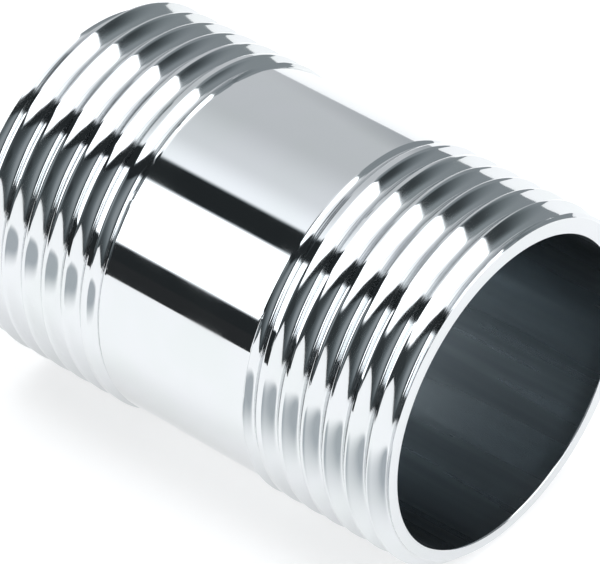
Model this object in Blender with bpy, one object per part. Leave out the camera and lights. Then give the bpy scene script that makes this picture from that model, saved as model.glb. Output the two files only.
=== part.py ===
"""A G1 barrel nipple: a short round tube with a right-hand parallel pipe thread on each end.

Blender 4.5, metres, +Z up. The tube's axis is the X axis, and the origin is the tube's middle.
The two ends are the same but for the angle at which each thread starts, as they are cut one
after the other.
"""

import math

import bmesh
import bpy

MM = 0.001
INCH = 0.0254

# Driving dimensions of the body.
LENGTH = 46.4 * MM
THREAD_LENGTH = 15.2 * MM
BARREL_DIAMETER = 32.3 * MM
BORE_DIAMETER = 28.8 * MM
BORE_EDGE = 0.16 * MM

# Driving dimensions of the G1 thread: 11 threads to the inch, cut near the least diameter that G1
# allows. Polishing has rounded its groove: the sides curve from the bottom up to flat crests, and it
# is shallower than a new tool cuts it. GROOVE_SLOPE is how steep the sides would get if they went on,
# and GROOVE_BLEND is how broad the rounded bottom is.
THREAD_DIAMETER = 32.9 * MM
PITCH = INCH / 11
GROOVE_SLOPE = 1.6
GROOVE_BLEND = 0.384 * PITCH
DEPTH_AT_FACE = 1.06 * MM

# Each thread begins in a chamfer at the end face. From there its groove loses a little depth with each
# turn, and from RUN_OUT_START much more, until it fades out on the barrel. Lengths are measured from
# the end face.
CHAMFER_LENGTH = 0.6 * MM
FACE_DIAMETER = 31.7 * MM
RUN_OUT_START = 10.8 * MM
RUN_OUT_END = 16.9 * MM
DEPTH_LOST = 0.0135
RUN_OUT_LIFT = 0.705 * MM

# The angle about +X at which a crest crosses the plane of each end face.
CREST_AT_NEAR_FACE = math.radians(74.0)
CREST_AT_FAR_FACE = math.radians(-151.0)

# How finely the faces follow the round shapes.
COLUMNS = 48
CHAMFER_STEPS = 3
SNAP = 0.04 * MM

CHROME_COLOUR = (0.80, 0.82, 0.84, 1.0)
CHROME_ROUGHNESS = 0.06

END_FACE = LENGTH / 2
THREAD_RADIUS = THREAD_DIAMETER / 2
BARREL_RADIUS = BARREL_DIAMETER / 2
FACE_RADIUS = FACE_DIAMETER / 2
BORE_RADIUS = BORE_DIAMETER / 2
MOUTH_RADIUS = BORE_RADIUS + BORE_EDGE
CHAMFER_SLOPE = (THREAD_RADIUS - FACE_RADIUS) / CHAMFER_LENGTH

# The outer facets touch the round shape with their middles, so the part is its full width across flats.
FACET_REACH = 1 / math.cos(math.pi / COLUMNS)


def clear_scene():
    for obj in list(bpy.data.objects):
        bpy.data.objects.remove(obj, do_unlink=True)


def chrome():
    material = bpy.data.materials.new("chrome")
    material.use_nodes = True
    shader = material.node_tree.nodes["Principled BSDF"]
    shader.inputs["Base Color"].default_value = CHROME_COLOUR
    shader.inputs["Metallic"].default_value = 1.0
    shader.inputs["Roughness"].default_value = CHROME_ROUGHNESS
    return material


def groove_height(along):
    """Height above the groove's bottom, at a distance along the axis from a crest's middle."""
    from_crest = abs((along + PITCH / 2) % PITCH - PITCH / 2)
    return math.hypot(GROOVE_BLEND, GROOVE_SLOPE * (PITCH / 2 - from_crest)) - GROOVE_BLEND


def crest_offset(side, angle):
    """Where on the axis a crest lies, at this angle about +X. Both threads are right-handed."""
    start = CREST_AT_NEAR_FACE if side > 0 else CREST_AT_FAR_FACE
    return side * END_FACE + PITCH * (angle - start) / math.tau


def groove_depth(from_face):
    """How deep the groove's bottom lies under the crests. It is gone where the run-out ends."""
    along = (from_face - RUN_OUT_START) / (RUN_OUT_END - RUN_OUT_START)
    return DEPTH_AT_FACE - DEPTH_LOST * from_face - RUN_OUT_LIFT * max(0.0, along) ** 2


def outer_radius(side, along, angle):
    """The threaded stretch's radius at a place on the axis and an angle about it."""
    from_face = END_FACE - side * along
    height = groove_height(along - crest_offset(side, angle))
    thread = THREAD_RADIUS - groove_depth(from_face) + height
    shoulder = BARREL_RADIUS + max(0.0, THREAD_LENGTH - from_face)
    chamfer = FACE_RADIUS + from_face * CHAMFER_SLOPE
    return FACET_REACH * min(thread, THREAD_RADIUS, shoulder, chamfer)


def profile_stations():
    """Distances from a crest's middle, over one pitch, that give the groove its corners and curve."""
    return [PITCH * share for share in (0.03, 0.07, 0.30, 0.50, 0.70, 0.93, 0.97)]


def column_angle(column):
    """Columns of points straddle -Z, so the part lies on a flat facet."""
    return -math.pi / 2 + (column + 0.5) * math.tau / COLUMNS


def ring(mesh, along, radius_at):
    """One ring of points round the axis. radius_at gives the radius at each angle."""
    points = []
    for column in range(COLUMNS):
        angle = column_angle(column)
        radius = radius_at(angle)
        points.append(mesh.verts.new((along, radius * math.cos(angle), radius * math.sin(angle))))
    return points


def band(mesh, ring_a, ring_b):
    """Faces between two rings, with their outer side to the left of the way from a to b."""
    for column in range(COLUMNS):
        after = (column + 1) % COLUMNS
        mesh.faces.new((ring_a[column], ring_a[after], ring_b[after], ring_b[column]))


def helical_band(mesh, side, low_ring, high_ring):
    """The thread between two rings, in rows of points that follow the helix, so its edges are clean."""
    low = low_ring[0].co.x
    high = high_ring[0].co.x
    stations = profile_stations()
    per_pitch = len(stations)
    first_pitch = math.floor((low - crest_offset(side, column_angle(COLUMNS))) / PITCH) - 1
    last_pitch = math.ceil((high - crest_offset(side, column_angle(0))) / PITCH) + 1
    rows = (last_pitch - first_pitch) * per_pitch

    def column_points(column):
        angle = column_angle(column)
        points = []
        for row in range(rows + per_pitch):
            pitch, station = divmod(row, per_pitch)
            along = crest_offset(side, angle) + (first_pitch + pitch) * PITCH + stations[station]
            if along < low + SNAP:
                points.append(low_ring[column])
            elif along > high - SNAP:
                points.append(high_ring[column])
            else:
                radius = outer_radius(side, along, angle)
                place = (along, radius * math.cos(angle), radius * math.sin(angle))
                points.append(mesh.verts.new(place))
        return points

    columns = [column_points(column) for column in range(COLUMNS)]
    # One turn on, each row has moved up by one pitch, so it meets the first column a pitch later.
    columns.append(columns[0][per_pitch:])
    for here, there in zip(columns, columns[1:]):
        for row in range(min(len(here), len(there)) - 1):
            corners = []
            for corner in (here[row], there[row], there[row + 1], here[row + 1]):
                if corner not in corners:
                    corners.append(corner)
            if len(corners) > 2:
                mesh.faces.new(corners)


def threaded_end(mesh, side, barrel_ring):
    """The thread, its chamfer and the flat end face. Returns the ring at the bore's mouth."""
    place = side * (END_FACE - CHAMFER_LENGTH)
    chamfer_ring = ring(mesh, place, lambda angle: outer_radius(side, place, angle))
    if side > 0:
        helical_band(mesh, side, barrel_ring, chamfer_ring)
    else:
        helical_band(mesh, side, chamfer_ring, barrel_ring)
    here = chamfer_ring
    for step in range(1, CHAMFER_STEPS + 1):
        place = side * (END_FACE - CHAMFER_LENGTH * (1 - step / CHAMFER_STEPS))
        there = ring(mesh, place, lambda angle, at=place: outer_radius(side, at, angle))
        band(mesh, here, there)
        here = there
    mouth = ring(mesh, side * END_FACE, lambda angle: MOUTH_RADIUS)
    band(mesh, here, mouth)
    throat = ring(mesh, side * (END_FACE - BORE_EDGE), lambda angle: BORE_RADIUS)
    band(mesh, mouth, throat)
    return throat


def nipple_body():
    mesh = bmesh.new()
    barrel_end = END_FACE - RUN_OUT_END
    barrel_radius = FACET_REACH * BARREL_RADIUS
    near_ring = ring(mesh, barrel_end, lambda angle: barrel_radius)
    far_ring = ring(mesh, -barrel_end, lambda angle: barrel_radius)
    band(mesh, far_ring, near_ring)
    near_throat = threaded_end(mesh, 1, near_ring)
    far_throat = threaded_end(mesh, -1, far_ring)
    band(mesh, near_throat, far_throat)
    bmesh.ops.recalc_face_normals(mesh, faces=mesh.faces)
    data = bpy.data.meshes.new("nipple_body")
    mesh.to_mesh(data)
    mesh.free()
    body = bpy.data.objects.new("nipple_body", data)
    bpy.context.scene.collection.objects.link(body)
    data.materials.append(chrome())
    data.shade_smooth()
    data.set_sharp_from_angle(angle=math.radians(35))
    return body


clear_scene()
nipple_body()
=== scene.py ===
"""The looks of the G1 barrel nipple: a finely threaded, bright chrome body on a white studio table."""

import math

import bpy
import numpy as np
from mathutils import Matrix, Vector


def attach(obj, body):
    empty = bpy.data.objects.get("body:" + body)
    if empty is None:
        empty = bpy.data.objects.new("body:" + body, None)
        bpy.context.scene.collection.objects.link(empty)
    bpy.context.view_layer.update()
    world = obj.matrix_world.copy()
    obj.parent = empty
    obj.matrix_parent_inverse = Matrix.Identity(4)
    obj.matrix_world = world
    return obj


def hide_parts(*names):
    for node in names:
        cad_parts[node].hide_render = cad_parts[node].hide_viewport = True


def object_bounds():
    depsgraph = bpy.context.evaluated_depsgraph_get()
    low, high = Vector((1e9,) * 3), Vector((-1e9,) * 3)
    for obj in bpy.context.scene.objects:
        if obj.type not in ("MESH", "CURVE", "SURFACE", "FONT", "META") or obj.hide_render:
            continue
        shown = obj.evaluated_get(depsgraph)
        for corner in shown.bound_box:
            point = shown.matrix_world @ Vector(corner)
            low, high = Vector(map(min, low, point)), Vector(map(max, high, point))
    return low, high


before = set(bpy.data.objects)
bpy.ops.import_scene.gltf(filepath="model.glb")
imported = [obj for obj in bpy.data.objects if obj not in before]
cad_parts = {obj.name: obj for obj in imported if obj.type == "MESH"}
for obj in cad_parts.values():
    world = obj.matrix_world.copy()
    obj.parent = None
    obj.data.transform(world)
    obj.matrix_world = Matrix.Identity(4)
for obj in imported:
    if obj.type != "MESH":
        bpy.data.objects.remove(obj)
CAD_LOW, CAD_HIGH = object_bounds()

MM = 0.001
TABLE_TOP = CAD_LOW[2]

# The body's size comes from the frame: its length, and its width over the thread's crests.
END_FACE = CAD_HIGH[0]
THREAD_RADIUS = CAD_HIGH[2]
BARREL_RADIUS = 16.15 * MM
BORE_RADIUS = 14.4 * MM
BORE_EDGE = 0.16 * MM

# The G1 thread, as the CAD part has it, on a rounder and finer mesh. Lengths are measured from the end
# face, and angles about +X.
PITCH = 25.4 * MM / 11
GROOVE_SLOPE = 1.6
GROOVE_BLEND = 0.384 * PITCH
DEPTH_AT_FACE = 1.06 * MM
DEPTH_LOST = 0.0135
RUN_OUT_LIFT = 0.705 * MM
THREAD_LENGTH = 15.2 * MM
CHAMFER_LENGTH = 0.6 * MM
FACE_RADIUS = 15.85 * MM
RUN_OUT_START = 10.8 * MM
RUN_OUT_END = 16.9 * MM
CREST_AT_NEAR_FACE = math.radians(74.0)
CREST_AT_FAR_FACE = math.radians(-151.0)

# Polishing and plating have rounded every edge a little.
EDGE_BLEND = 0.06 * MM
FACE_EDGE = 0.07 * MM

# How fine the mesh is, and from which angle on an edge is shaded sharp.
COLUMNS = 288
ROWS_PER_PITCH = 28
SNAP = 0.004 * MM
EDGE_STEPS = 5
FACE_STEPS = 3
BORE_STEPS = 24
SHARP_ANGLE = math.radians(40)

# A face belongs to the bore if its middle is no further out than the bore's radius and this much.
BORE_MARGIN = 0.001 * MM
CHROME_INDEX = 0
BORE_INDEX = 1


def smooth_min(a, b, blend):
    """The smaller of two, with the corner where they cross rounded over this much difference."""
    closeness = np.maximum(blend - np.abs(a - b), 0) / blend
    return np.minimum(a, b) - closeness**2 * blend / 4


def groove_height(along):
    """Height above the groove's bottom, at distances along the axis from a crest's middle."""
    distance = PITCH / 2 - np.abs((along + PITCH / 2) % PITCH - PITCH / 2)
    return np.hypot(GROOVE_BLEND, GROOVE_SLOPE * distance) - GROOVE_BLEND


def crest_offset(side, angle):
    """Where on the axis a crest lies, at these angles about +X. Both threads are right-handed."""
    start = CREST_AT_NEAR_FACE if side > 0 else CREST_AT_FAR_FACE
    return side * END_FACE + PITCH * (angle - start) / math.tau


def outer_radius(side, along, angle):
    """The threaded stretch's radius at places on the axis and angles about it."""
    from_face = END_FACE - side * along
    fading = np.maximum(0, (from_face - RUN_OUT_START) / (RUN_OUT_END - RUN_OUT_START))
    depth = DEPTH_AT_FACE - DEPTH_LOST * from_face - RUN_OUT_LIFT * fading**2
    thread = THREAD_RADIUS - depth + groove_height(along - crest_offset(side, angle))
    shoulder = BARREL_RADIUS + np.maximum(0, THREAD_LENGTH - from_face)
    slope = (THREAD_RADIUS - FACE_RADIUS) / CHAMFER_LENGTH
    chamfer = FACE_RADIUS + from_face * slope
    blank = smooth_min(np.minimum(shoulder, THREAD_RADIUS), chamfer, EDGE_BLEND)
    return smooth_min(thread, blank, EDGE_BLEND)


class Surface:
    """Points and faces of one mesh, gathered row by row."""

    def __init__(self):
        self.points = []
        self.faces = []

    def point(self, along, radius, angle):
        self.points.append((along, radius * math.cos(angle), radius * math.sin(angle)))
        return len(self.points) - 1

    def ring(self, along, radii, angles):
        return [self.point(along, radius, angle) for radius, angle in zip(radii, angles)]

    def round_ring(self, along, radius, angles):
        return self.ring(along, np.full(COLUMNS, radius), angles)

    def band(self, low, high, outward):
        """Faces between two rings. outward is True where they face away from the axis or up it."""
        for column in range(COLUMNS):
            after = (column + 1) % COLUMNS
            corners = (low[column], low[after], high[after], high[column])
            self.faces.append(corners if outward else corners[::-1])


def column_angles():
    return -math.pi / 2 + (np.arange(COLUMNS) + 0.5) * math.tau / COLUMNS


def helical_band(surface, side, low_ring, high_ring, low, high):
    """The thread between two rings, in rows of points that follow the helix."""
    angles = column_angles()
    offsets = crest_offset(side, angles)
    first = math.floor((low - offsets[-1]) / PITCH) - 1
    last = math.ceil((high - offsets[0]) / PITCH) + 1
    steps = np.arange((last - first + 1) * ROWS_PER_PITCH)
    columns = []
    for column, angle in enumerate(angles):
        along = offsets[column] + (first + steps / ROWS_PER_PITCH) * PITCH
        radii = outer_radius(side, along, angle)
        points = []
        for place, radius in zip(along, radii):
            if place < low + SNAP:
                points.append(low_ring[column])
            elif place > high - SNAP:
                points.append(high_ring[column])
            else:
                points.append(surface.point(place, radius, angle))
        columns.append(points)
    # One turn on, each row has moved up by one pitch, so it meets the first column a pitch later.
    columns.append(columns[0][ROWS_PER_PITCH:])
    for here, there in zip(columns, columns[1:]):
        for row in range(min(len(here), len(there)) - 1):
            corners = (here[row], there[row], there[row + 1], here[row + 1])
            corners = tuple(dict.fromkeys(corners))
            if len(corners) > 2:
                surface.faces.append(corners)


def end_rings(surface, side):
    """The rings from the thread's start round the face's outer edge to the bore's mouth and throat."""
    angles = column_angles()
    edge_place = END_FACE - FACE_EDGE
    edge_radii = outer_radius(side, side * edge_place, angles)
    rings = []
    for step in range(EDGE_STEPS + 1):
        turn = step / EDGE_STEPS * math.pi / 2
        place = edge_place + FACE_EDGE * math.sin(turn)
        radii = edge_radii - FACE_EDGE * (1 - math.cos(turn))
        rings.append(surface.ring(side * place, radii, angles))
    outer = edge_radii - FACE_EDGE
    mouth = BORE_RADIUS + BORE_EDGE
    for step in range(1, FACE_STEPS + 1):
        radii = outer + (mouth - outer) * step / FACE_STEPS
        rings.append(surface.ring(side * END_FACE, radii, angles))
    for step in range(1, EDGE_STEPS + 1):
        turn = step / EDGE_STEPS * math.pi / 2
        place = END_FACE - BORE_EDGE * (1 - math.cos(turn))
        radius = mouth - BORE_EDGE * math.sin(turn)
        rings.append(surface.round_ring(side * place, radius, angles))
    return rings


def nipple_mesh():
    surface = Surface()
    angles = column_angles()
    barrel_end = END_FACE - RUN_OUT_END
    edge_place = END_FACE - FACE_EDGE
    barrel = {}
    throats = {}
    for side in (1, -1):
        barrel[side] = surface.round_ring(side * barrel_end, BARREL_RADIUS, angles)
        rings = end_rings(surface, side)
        if side > 0:
            helical_band(surface, side, barrel[side], rings[0], barrel_end, edge_place)
        else:
            helical_band(surface, side, rings[0], barrel[side], -edge_place, -barrel_end)
        for here, there in zip(rings, rings[1:]):
            surface.band(here, there, side > 0)
        throats[side] = rings[-1]
    surface.band(barrel[-1], barrel[1], True)
    here = throats[-1]
    throat = END_FACE - BORE_EDGE
    for step in range(1, BORE_STEPS):
        place = throat * (2 * step / BORE_STEPS - 1)
        there = surface.round_ring(place, BORE_RADIUS, angles)
        surface.band(here, there, False)
        here = there
    surface.band(here, throats[1], False)
    data = bpy.data.meshes.new("chromed_nipple")
    data.from_pydata(surface.points, [], surface.faces)
    data.validate()
    data.materials.append(chrome_material())
    data.materials.append(shaded_bore_material())
    for face in data.polygons:
        in_bore = math.hypot(face.center.y, face.center.z) < BORE_RADIUS + BORE_MARGIN
        face.material_index = BORE_INDEX if in_bore else CHROME_INDEX
    data.shade_smooth()
    data.set_sharp_from_angle(angle=SHARP_ANGLE)
    return data


class Graph:
    """Shader nodes in one tree, made by short calls. Inputs are sockets or numbers."""

    def __init__(self, tree):
        self.tree = tree

    def node(self, kind, **settings):
        made = self.tree.nodes.new(kind)
        for name, value in settings.items():
            setattr(made, name, value)
        return made

    def feed(self, socket, value):
        if isinstance(value, bpy.types.NodeSocket):
            self.tree.links.new(value, socket)
        else:
            socket.default_value = value

    def math(self, operation, *values):
        made = self.node("ShaderNodeMath", operation=operation)
        for socket, value in zip(made.inputs, values):
            self.feed(socket, value)
        return made.outputs[0]

    def times(self, a, b):
        return self.math("MULTIPLY", a, b)

    def ramp(self, value, low, high, to_low=0.0, to_high=1.0):
        """Goes smoothly from to_low to to_high as value goes from low to high."""
        made = self.node("ShaderNodeMapRange", interpolation_type="SMOOTHSTEP")
        for socket, given in zip(made.inputs, (value, low, high, to_low, to_high)):
            self.feed(socket, given)
        return made.outputs[0]

    def window(self, value, low, high, soft):
        """1 between low and high, 0 outside, with edges this soft."""
        rising = self.ramp(value, low - soft / 2, low + soft / 2)
        falling = self.ramp(value, high - soft / 2, high + soft / 2, 1.0, 0.0)
        return self.times(rising, falling)

    def over(self, under, level, cover):
        """level where cover is 1, and what is under it where cover is 0."""
        change = self.times(self.math("SUBTRACT", level, under), cover)
        return self.math("ADD", under, change)

    def mix(self, factor, colour_a, colour_b):
        """From colour_a where factor is 0 to colour_b where it is 1."""
        made = self.node("ShaderNodeMix", data_type="RGBA")
        for name, value in (("Factor", factor), ("A", colour_a), ("B", colour_b)):
            self.feed(made.inputs[name], value)
        return made.outputs["Result"]

    def coordinates(self, kind):
        return self.node("ShaderNodeTexCoord").outputs[kind]

    def split(self, vector):
        made = self.node("ShaderNodeSeparateXYZ")
        self.feed(made.inputs[0], vector)
        return made.outputs

    def combine(self, x, y, z):
        made = self.node("ShaderNodeCombineXYZ")
        for socket, value in zip(made.inputs, (x, y, z)):
            self.feed(socket, value)
        return made.outputs[0]

    def length(self, vector):
        made = self.node("ShaderNodeVectorMath", operation="LENGTH")
        self.feed(made.inputs[0], vector)
        return made.outputs["Value"]

    def noise(self, vector, scale, detail):
        made = self.node("ShaderNodeTexNoise")
        self.feed(made.inputs["Vector"], vector)
        self.feed(made.inputs["Scale"], scale)
        self.feed(made.inputs["Detail"], detail)
        return made.outputs["Fac"]


def new_material(name, colour, roughness):
    material = bpy.data.materials.new(name)
    material.use_nodes = True
    shader = material.node_tree.nodes["Principled BSDF"]
    shader.inputs["Base Color"].default_value = colour
    shader.inputs["Roughness"].default_value = roughness
    return material, shader, Graph(material.node_tree)


# Chrome, lightly clouded: in each cloud it is a little warmer and duller. Scales are per metre.
CHROME_TONE = (0.70, 0.72, 0.73, 1.0)
CHROME_CLEAR = (0.70, 0.715, 0.73, 1.0)
CHROME_CLOUDED = (0.67, 0.70, 0.695, 1.0)
CHROME_ROUGHNESS = 0.05
CLOUD_SCALE = 180.0
CLOUD_TONE_SHARE = 0.6
CLEAR_ROUGHNESS = 0.03
CLOUDED_ROUGHNESS = 0.07

# The turning marks: fine across, and slow to change on the way round. They are full in the grooves, and
# almost gone on the barrel and the crests.
MARKS_ACROSS = 9000.0
MARKS_ROUND = 60.0
MARKS_FULL_RADIUS = BARREL_RADIUS - 0.6 * MM
MARKS_FAINT_RADIUS = BARREL_RADIUS - 0.05 * MM
MARKS_LEFT_OUTSIDE = 0.08
MARKS_ROUGHNESS = 0.10
MARKS_HEIGHT = 0.01 * MM
MARKS_STRENGTH = 0.5


def chrome_material():
    """Plating over a turned, buffed body: fine rings, deeper in the grooves, and soft clouds."""
    material, shader, graph = new_material("bright_chrome", CHROME_TONE, CHROME_ROUGHNESS)
    shader.inputs["Metallic"].default_value = 1.0
    place = graph.coordinates("Object")
    x, y, z = graph.split(place)
    across = graph.math("SQRT", graph.math("ADD", graph.math("POWER", y, 2.0), graph.math("POWER", z, 2.0)))
    rings = graph.combine(
        graph.times(graph.math("ADD", x, across), MARKS_ACROSS),
        graph.times(y, MARKS_ROUND),
        graph.times(z, MARKS_ROUND),
    )
    marks = graph.noise(rings, scale=1.0, detail=3.0)
    clouds = graph.noise(place, CLOUD_SCALE, detail=2.0)
    in_groove = graph.ramp(across, MARKS_FULL_RADIUS, MARKS_FAINT_RADIUS, 1.0, MARKS_LEFT_OUTSIDE)
    roughness = graph.math(
        "ADD",
        graph.times(graph.times(marks, in_groove), MARKS_ROUGHNESS),
        graph.ramp(clouds, 0.35, 0.7, CLEAR_ROUGHNESS, CLOUDED_ROUGHNESS),
    )
    graph.feed(shader.inputs["Roughness"], roughness)
    clouded = graph.times(graph.ramp(clouds, 0.3, 0.75), CLOUD_TONE_SHARE)
    graph.feed(shader.inputs["Base Color"], graph.mix(clouded, CHROME_CLEAR, CHROME_CLOUDED))
    bump = graph.node("ShaderNodeBump")
    graph.feed(bump.inputs["Distance"], MARKS_HEIGHT)
    graph.feed(bump.inputs["Strength"], graph.times(in_groove, MARKS_STRENGTH))
    graph.feed(bump.inputs["Height"], marks)
    graph.feed(shader.inputs["Normal"], bump.outputs["Normal"])
    return material


# The bore's tones and how satin it is, between its streaks and on them. The streaks are long along the
# axis and narrow across it. Scales are per metre.
# Painted shade: these tones are darker than the chrome's, for the shade inside the bore.
BORE_SHADED_TONE = (0.22, 0.25, 0.26, 1.0)
BORE_SHADED_DARK = (0.26, 0.29, 0.31, 1.0)
BORE_SHADED_BRIGHT = (0.50, 0.54, 0.56, 1.0)
BORE_ROUGHNESS = 0.3
BORE_DULL = 0.34
BORE_POLISHED = 0.20
STREAKS_ALONG = 12.0
STREAKS_ACROSS = 260.0


def shaded_bore_material():
    """The inside is satin, with drawn streaks along the axis; its darker colour is painted shade in the
    recess.
    """
    material, shader, graph = new_material("satin_bore_painted_shade", BORE_SHADED_TONE, BORE_ROUGHNESS)
    shader.inputs["Metallic"].default_value = 1.0
    x, y, z = graph.split(graph.coordinates("Object"))
    drawn = graph.combine(
        graph.times(x, STREAKS_ALONG), graph.times(y, STREAKS_ACROSS), graph.times(z, STREAKS_ACROSS)
    )
    streaks = graph.noise(drawn, scale=1.0, detail=4.0)
    graph.feed(
        shader.inputs["Base Color"], graph.mix(graph.ramp(streaks, 0.35, 0.7), BORE_SHADED_DARK, BORE_SHADED_BRIGHT)
    )
    graph.feed(shader.inputs["Roughness"], graph.ramp(streaks, 0.3, 0.7, BORE_DULL, BORE_POLISHED))
    return material


# The view: how far round from -Y and how high the camera stands, and where the near end face's middle
# lies from the line of sight, seen from the camera.
VIEW_AZIMUTH = math.radians(40.56)
VIEW_ELEVATION = math.radians(39.10)
VIEW_DISTANCE = 394.6 * MM
FACE_TO_RIGHT = 17.31 * MM
FACE_BELOW = 9.23 * MM
LENS = 286.3
SENSOR_WIDTH = 36.0
NEAREST_SEEN = 10 * MM


def photo_camera():
    data = bpy.data.cameras.new("photo_camera")
    data.sensor_width = SENSOR_WIDTH
    data.lens = LENS
    data.clip_start = NEAREST_SEEN
    obj = bpy.data.objects.new("photo_camera", data)
    turned = Matrix.Rotation(VIEW_AZIMUTH, 3, "Z")
    raised = Matrix.Rotation(math.pi / 2 - VIEW_ELEVATION, 3, "X")
    turn = turned @ raised
    near_face = Vector((END_FACE, 0, 0))
    place = near_face + turn @ Vector((-FACE_TO_RIGHT, FACE_BELOW, VIEW_DISTANCE))
    obj.matrix_world = Matrix.Translation(place) @ turn.to_4x4()
    bpy.context.scene.collection.objects.link(obj)
    bpy.context.scene.camera = obj


FLOOR_SIZE = 4
FLOOR_WHITE = (0.55, 0.55, 0.55, 1.0)
FLOOR_ROUGHNESS = 0.9
FLOOR_GLOW = 0.60


def floor():
    """A light table: white, evenly lit from below as well as from above, so shadows on it are faint."""
    bpy.ops.mesh.primitive_plane_add(size=FLOOR_SIZE, location=(0, 0, TABLE_TOP))
    obj = bpy.context.object
    obj.name = "studio_floor"
    material, shader, _ = new_material("floor_white", FLOOR_WHITE, FLOOR_ROUGHNESS)
    shader.inputs["Specular IOR Level"].default_value = 0.0
    shader.inputs["Emission Color"].default_value = (1.0, 1.0, 1.0, 1.0)
    shader.inputs["Emission Strength"].default_value = FLOOR_GLOW
    obj.data.materials.append(material)


# Cards that only the chrome sees. The dark one stands on the table left of the camera, curved round the
# object. The grey one is painted shade: it lies on the table before the object, and its edges fade.
CARD_TINT = (0.92, 1.0, 1.06, 1.0)
DARK_CARD_LEVEL = 0.03
DARK_CARD_DISTANCE = 230 * MM
DARK_CARD_HEIGHT = 36 * MM
DARK_CARD_START = -100
DARK_CARD_SPAN = 80
DARK_CARD_STEPS = 40
# Painted shade: the grey card's dim glow darkens the table before the object, as the chrome sees it.
SHADE_CARD_LEVEL = 0.55
SHADE_CARD_MIDDLE = (34 * MM, -52 * MM)
SHADE_CARD_REACH = (34 * MM, 40 * MM)
SHADE_CARD_LIFT = 0.3 * MM
SHADE_CARD_FADE_START = 0.45


def studio_card(name, data, level, fading=False):
    material = bpy.data.materials.new(name)
    material.use_nodes = True
    graph = Graph(material.node_tree)
    light = graph.node("ShaderNodeEmission")
    graph.feed(light.inputs["Color"], CARD_TINT)
    graph.feed(light.inputs["Strength"], level)
    shown = light.outputs[0]
    if fading:
        from_middle = graph.length(graph.coordinates("Object"))
        blend = graph.node("ShaderNodeMixShader")
        graph.feed(blend.inputs[0], graph.ramp(from_middle, SHADE_CARD_FADE_START, 1.0, 1.0, 0.0))
        graph.feed(blend.inputs[1], graph.node("ShaderNodeBsdfTransparent").outputs[0])
        graph.feed(blend.inputs[2], shown)
        shown = blend.outputs[0]
    graph.feed(material.node_tree.nodes["Material Output"].inputs["Surface"], shown)
    data.materials.append(material)
    obj = bpy.data.objects.new(name, data)
    bpy.context.scene.collection.objects.link(obj)
    obj.visible_camera = False
    obj.visible_diffuse = False
    obj.visible_shadow = False
    return obj


def studio_cards():
    points = []
    for step in range(DARK_CARD_STEPS + 1):
        azimuth = math.radians(DARK_CARD_START + DARK_CARD_SPAN * step / DARK_CARD_STEPS)
        x = DARK_CARD_DISTANCE * math.sin(azimuth)
        y = -DARK_CARD_DISTANCE * math.cos(azimuth)
        points.append((x, y, TABLE_TOP))
        points.append((x, y, TABLE_TOP + DARK_CARD_HEIGHT))
    faces = [(n, n + 2, n + 3, n + 1) for n in range(0, 2 * DARK_CARD_STEPS, 2)]
    data = bpy.data.meshes.new("dark_card")
    data.from_pydata(points, [], faces)
    studio_card("dark_card", data, DARK_CARD_LEVEL)
    # Painted shade on the table before the object, seen only in the chrome.
    data = bpy.data.meshes.new("table_shade_card")
    data.from_pydata([(-1, -1, 0), (1, -1, 0), (1, 1, 0), (-1, 1, 0)], [], [(0, 1, 2, 3)])
    obj = studio_card("table_shade_card", data, SHADE_CARD_LEVEL, fading=True)
    obj.location = (*SHADE_CARD_MIDDLE, TABLE_TOP + SHADE_CARD_LIFT)
    obj.scale = (*SHADE_CARD_REACH, 1)


# The studio's walls are drawn on the world by direction, in degrees: the azimuth from -Y towards +X, the
# height over the horizon, and the roll about +X from -Y up. A brightness of 1 shows as plain white.
SOFTBOX = 2.4
ROOM_WALL = 0.70
ROOM_CEILING = 1.2
STRIP_GLOW = 0.46
BACK_WALL = 0.33
BACK_CORNER = 0.06
FRONT = 0.065
FRONT_PATCH = 0.36
LEFT_SIDE = 0.07
RIGHT_FOOT = 0.05
DARK_STRIP = 0.025

# The back wall's edge leans: at this height it has moved this far round.
LEAN_HEIGHT = 60.0
LEAN = 26.0

# The light's colour where the studio is dark and where it is bright.
DARK_TINT = (0.84, 1.0, 1.08, 1.0)
BRIGHT_TINT = (0.97, 1.0, 1.035, 1.0)
FULL_TINT_LEVEL = 0.7
PLAIN_WHITE = (1.0, 1.0, 1.0, 1.0)

LAMP_SIZE = 1.5
LAMP_ENERGY = 12.0
LAMP_HEIGHT = 1.5


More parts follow.
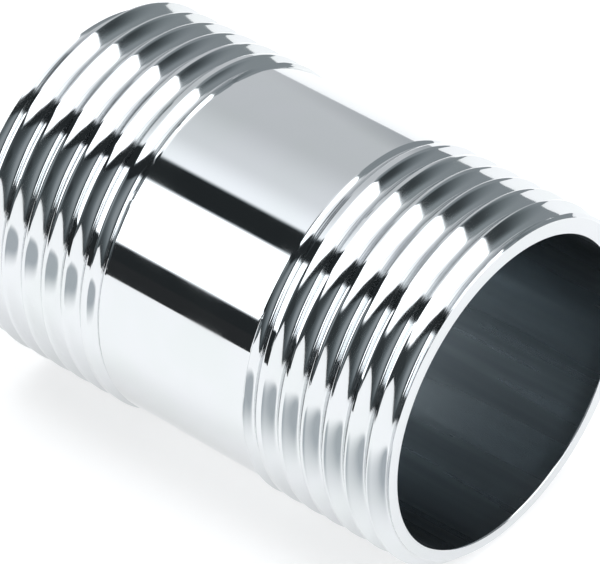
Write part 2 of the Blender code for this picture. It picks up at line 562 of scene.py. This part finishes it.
def studio_level(graph, azimuth, height, roll):
    """How bright the studio is in each direction."""

    def card(level, shade, across, up, soft, up_of=height):
        cover = graph.times(graph.window(azimuth, *across, soft), graph.window(up_of, *up, soft))
        return graph.over(level, shade, cover)

    # The room: pale walls, brighter overhead, with a glow just over the upper dark strip.
    level = graph.ramp(height, 45.0, 75.0, ROOM_WALL, ROOM_CEILING)
    level = graph.math("ADD", level, graph.ramp(roll, 72.0, 94.0, STRIP_GLOW, 0.0))

    # The back wall leans away from the right-hand softbox, and its corner there is in shade.
    up_share = graph.math("MAXIMUM", graph.math("DIVIDE", height, LEAN_HEIGHT), 0.0)
    lean = graph.times(graph.math("POWER", up_share, 4.0), LEAN)
    past = graph.math("SUBTRACT", azimuth, lean)
    low_down = graph.ramp(height, 18.0, 42.0, 1.0, 0.0)
    corner = graph.times(graph.window(azimuth, 110.0, 146.0, 26.0), low_down)
    wall = graph.over(BACK_WALL, BACK_CORNER, corner)
    cover = graph.times(graph.ramp(past, 125.5, 127.0), graph.window(height, -10.0, 60.0, 6.0))
    level = graph.over(level, wall, cover)
    level = card(level, BACK_WALL, across=(-190.0, -150.0), up=(-10.0, 58.0), soft=6.0)

    # The right-hand softbox.
    cover = graph.times(graph.window(past, 60.0, 126.0, 1.5), graph.ramp(height, 60.0, 80.0, 1.0, 0.0))
    level = graph.over(level, SOFTBOX, cover)

    # The dark front, with a paler patch round the camera, and the dark left side and right-hand foot.
    patch = graph.times(graph.window(azimuth, 12.0, 64.0, 30.0), graph.window(height, 10.0, 56.0, 24.0))
    front = graph.over(FRONT, FRONT_PATCH, patch)
    level = card(level, front, across=(-60.0, 81.0), up=(-20.0, 74.0), soft=3.0, up_of=roll)
    level = card(level, LEFT_SIDE, across=(-112.0, -60.0), up=(-20.0, 50.0), soft=5.0)
    level = card(level, RIGHT_FOOT, across=(70.0, 128.0), up=(-20.0, 9.0), soft=3.0)

    # The left-hand softbox stands in the front, between two dark strips: one over it, one at its foot.
    level = card(level, SOFTBOX, across=(-72.0, -27.0), up=(-5.0, 64.0), soft=2.0, up_of=roll)
    level = card(level, DARK_STRIP, across=(-92.0, 81.0), up=(57.0, 73.5), soft=3.0, up_of=roll)
    return card(level, DARK_STRIP, across=(-92.0, -27.0), up=(-10.0, 12.5), soft=2.0)


def studio_light():
    world = bpy.data.worlds.new("studio")
    bpy.context.scene.world = world
    world.use_nodes = True
    graph = Graph(world.node_tree)
    x, y, z = graph.split(graph.coordinates("Generated"))
    toward = graph.times(y, -1.0)
    degrees = 180 / math.pi
    azimuth = graph.times(graph.math("ARCTAN2", x, toward), degrees)
    height = graph.times(graph.math("ARCSINE", z), degrees)
    roll = graph.times(graph.math("ARCTAN2", z, toward), degrees)
    level = studio_level(graph, azimuth, height, roll)

    # Seen directly, past the table's edge, the studio is plain white.
    seen = graph.node("ShaderNodeLightPath").outputs["Is Camera Ray"]
    tint = graph.mix(graph.ramp(level, 0.0, FULL_TINT_LEVEL), DARK_TINT, BRIGHT_TINT)
    background = world.node_tree.nodes["Background"]
    graph.feed(background.inputs["Color"], graph.mix(seen, tint, PLAIN_WHITE))
    graph.feed(background.inputs["Strength"], graph.over(level, 1.0, seen))

    lamp = bpy.data.lights.new("overhead", "AREA")
    lamp.size = LAMP_SIZE
    lamp.energy = LAMP_ENERGY
    obj = bpy.data.objects.new("overhead", lamp)
    obj.location = (0, 0, LAMP_HEIGHT)
    obj.visible_glossy = False
    bpy.context.scene.collection.objects.link(obj)
    bpy.context.scene.view_settings.view_transform = "Standard"


nipple = bpy.data.objects.new("chromed_nipple", nipple_mesh())
bpy.context.scene.collection.objects.link(nipple)
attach(nipple, "root")
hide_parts("nipple_body")
photo_camera()
floor()
studio_cards()
studio_light()
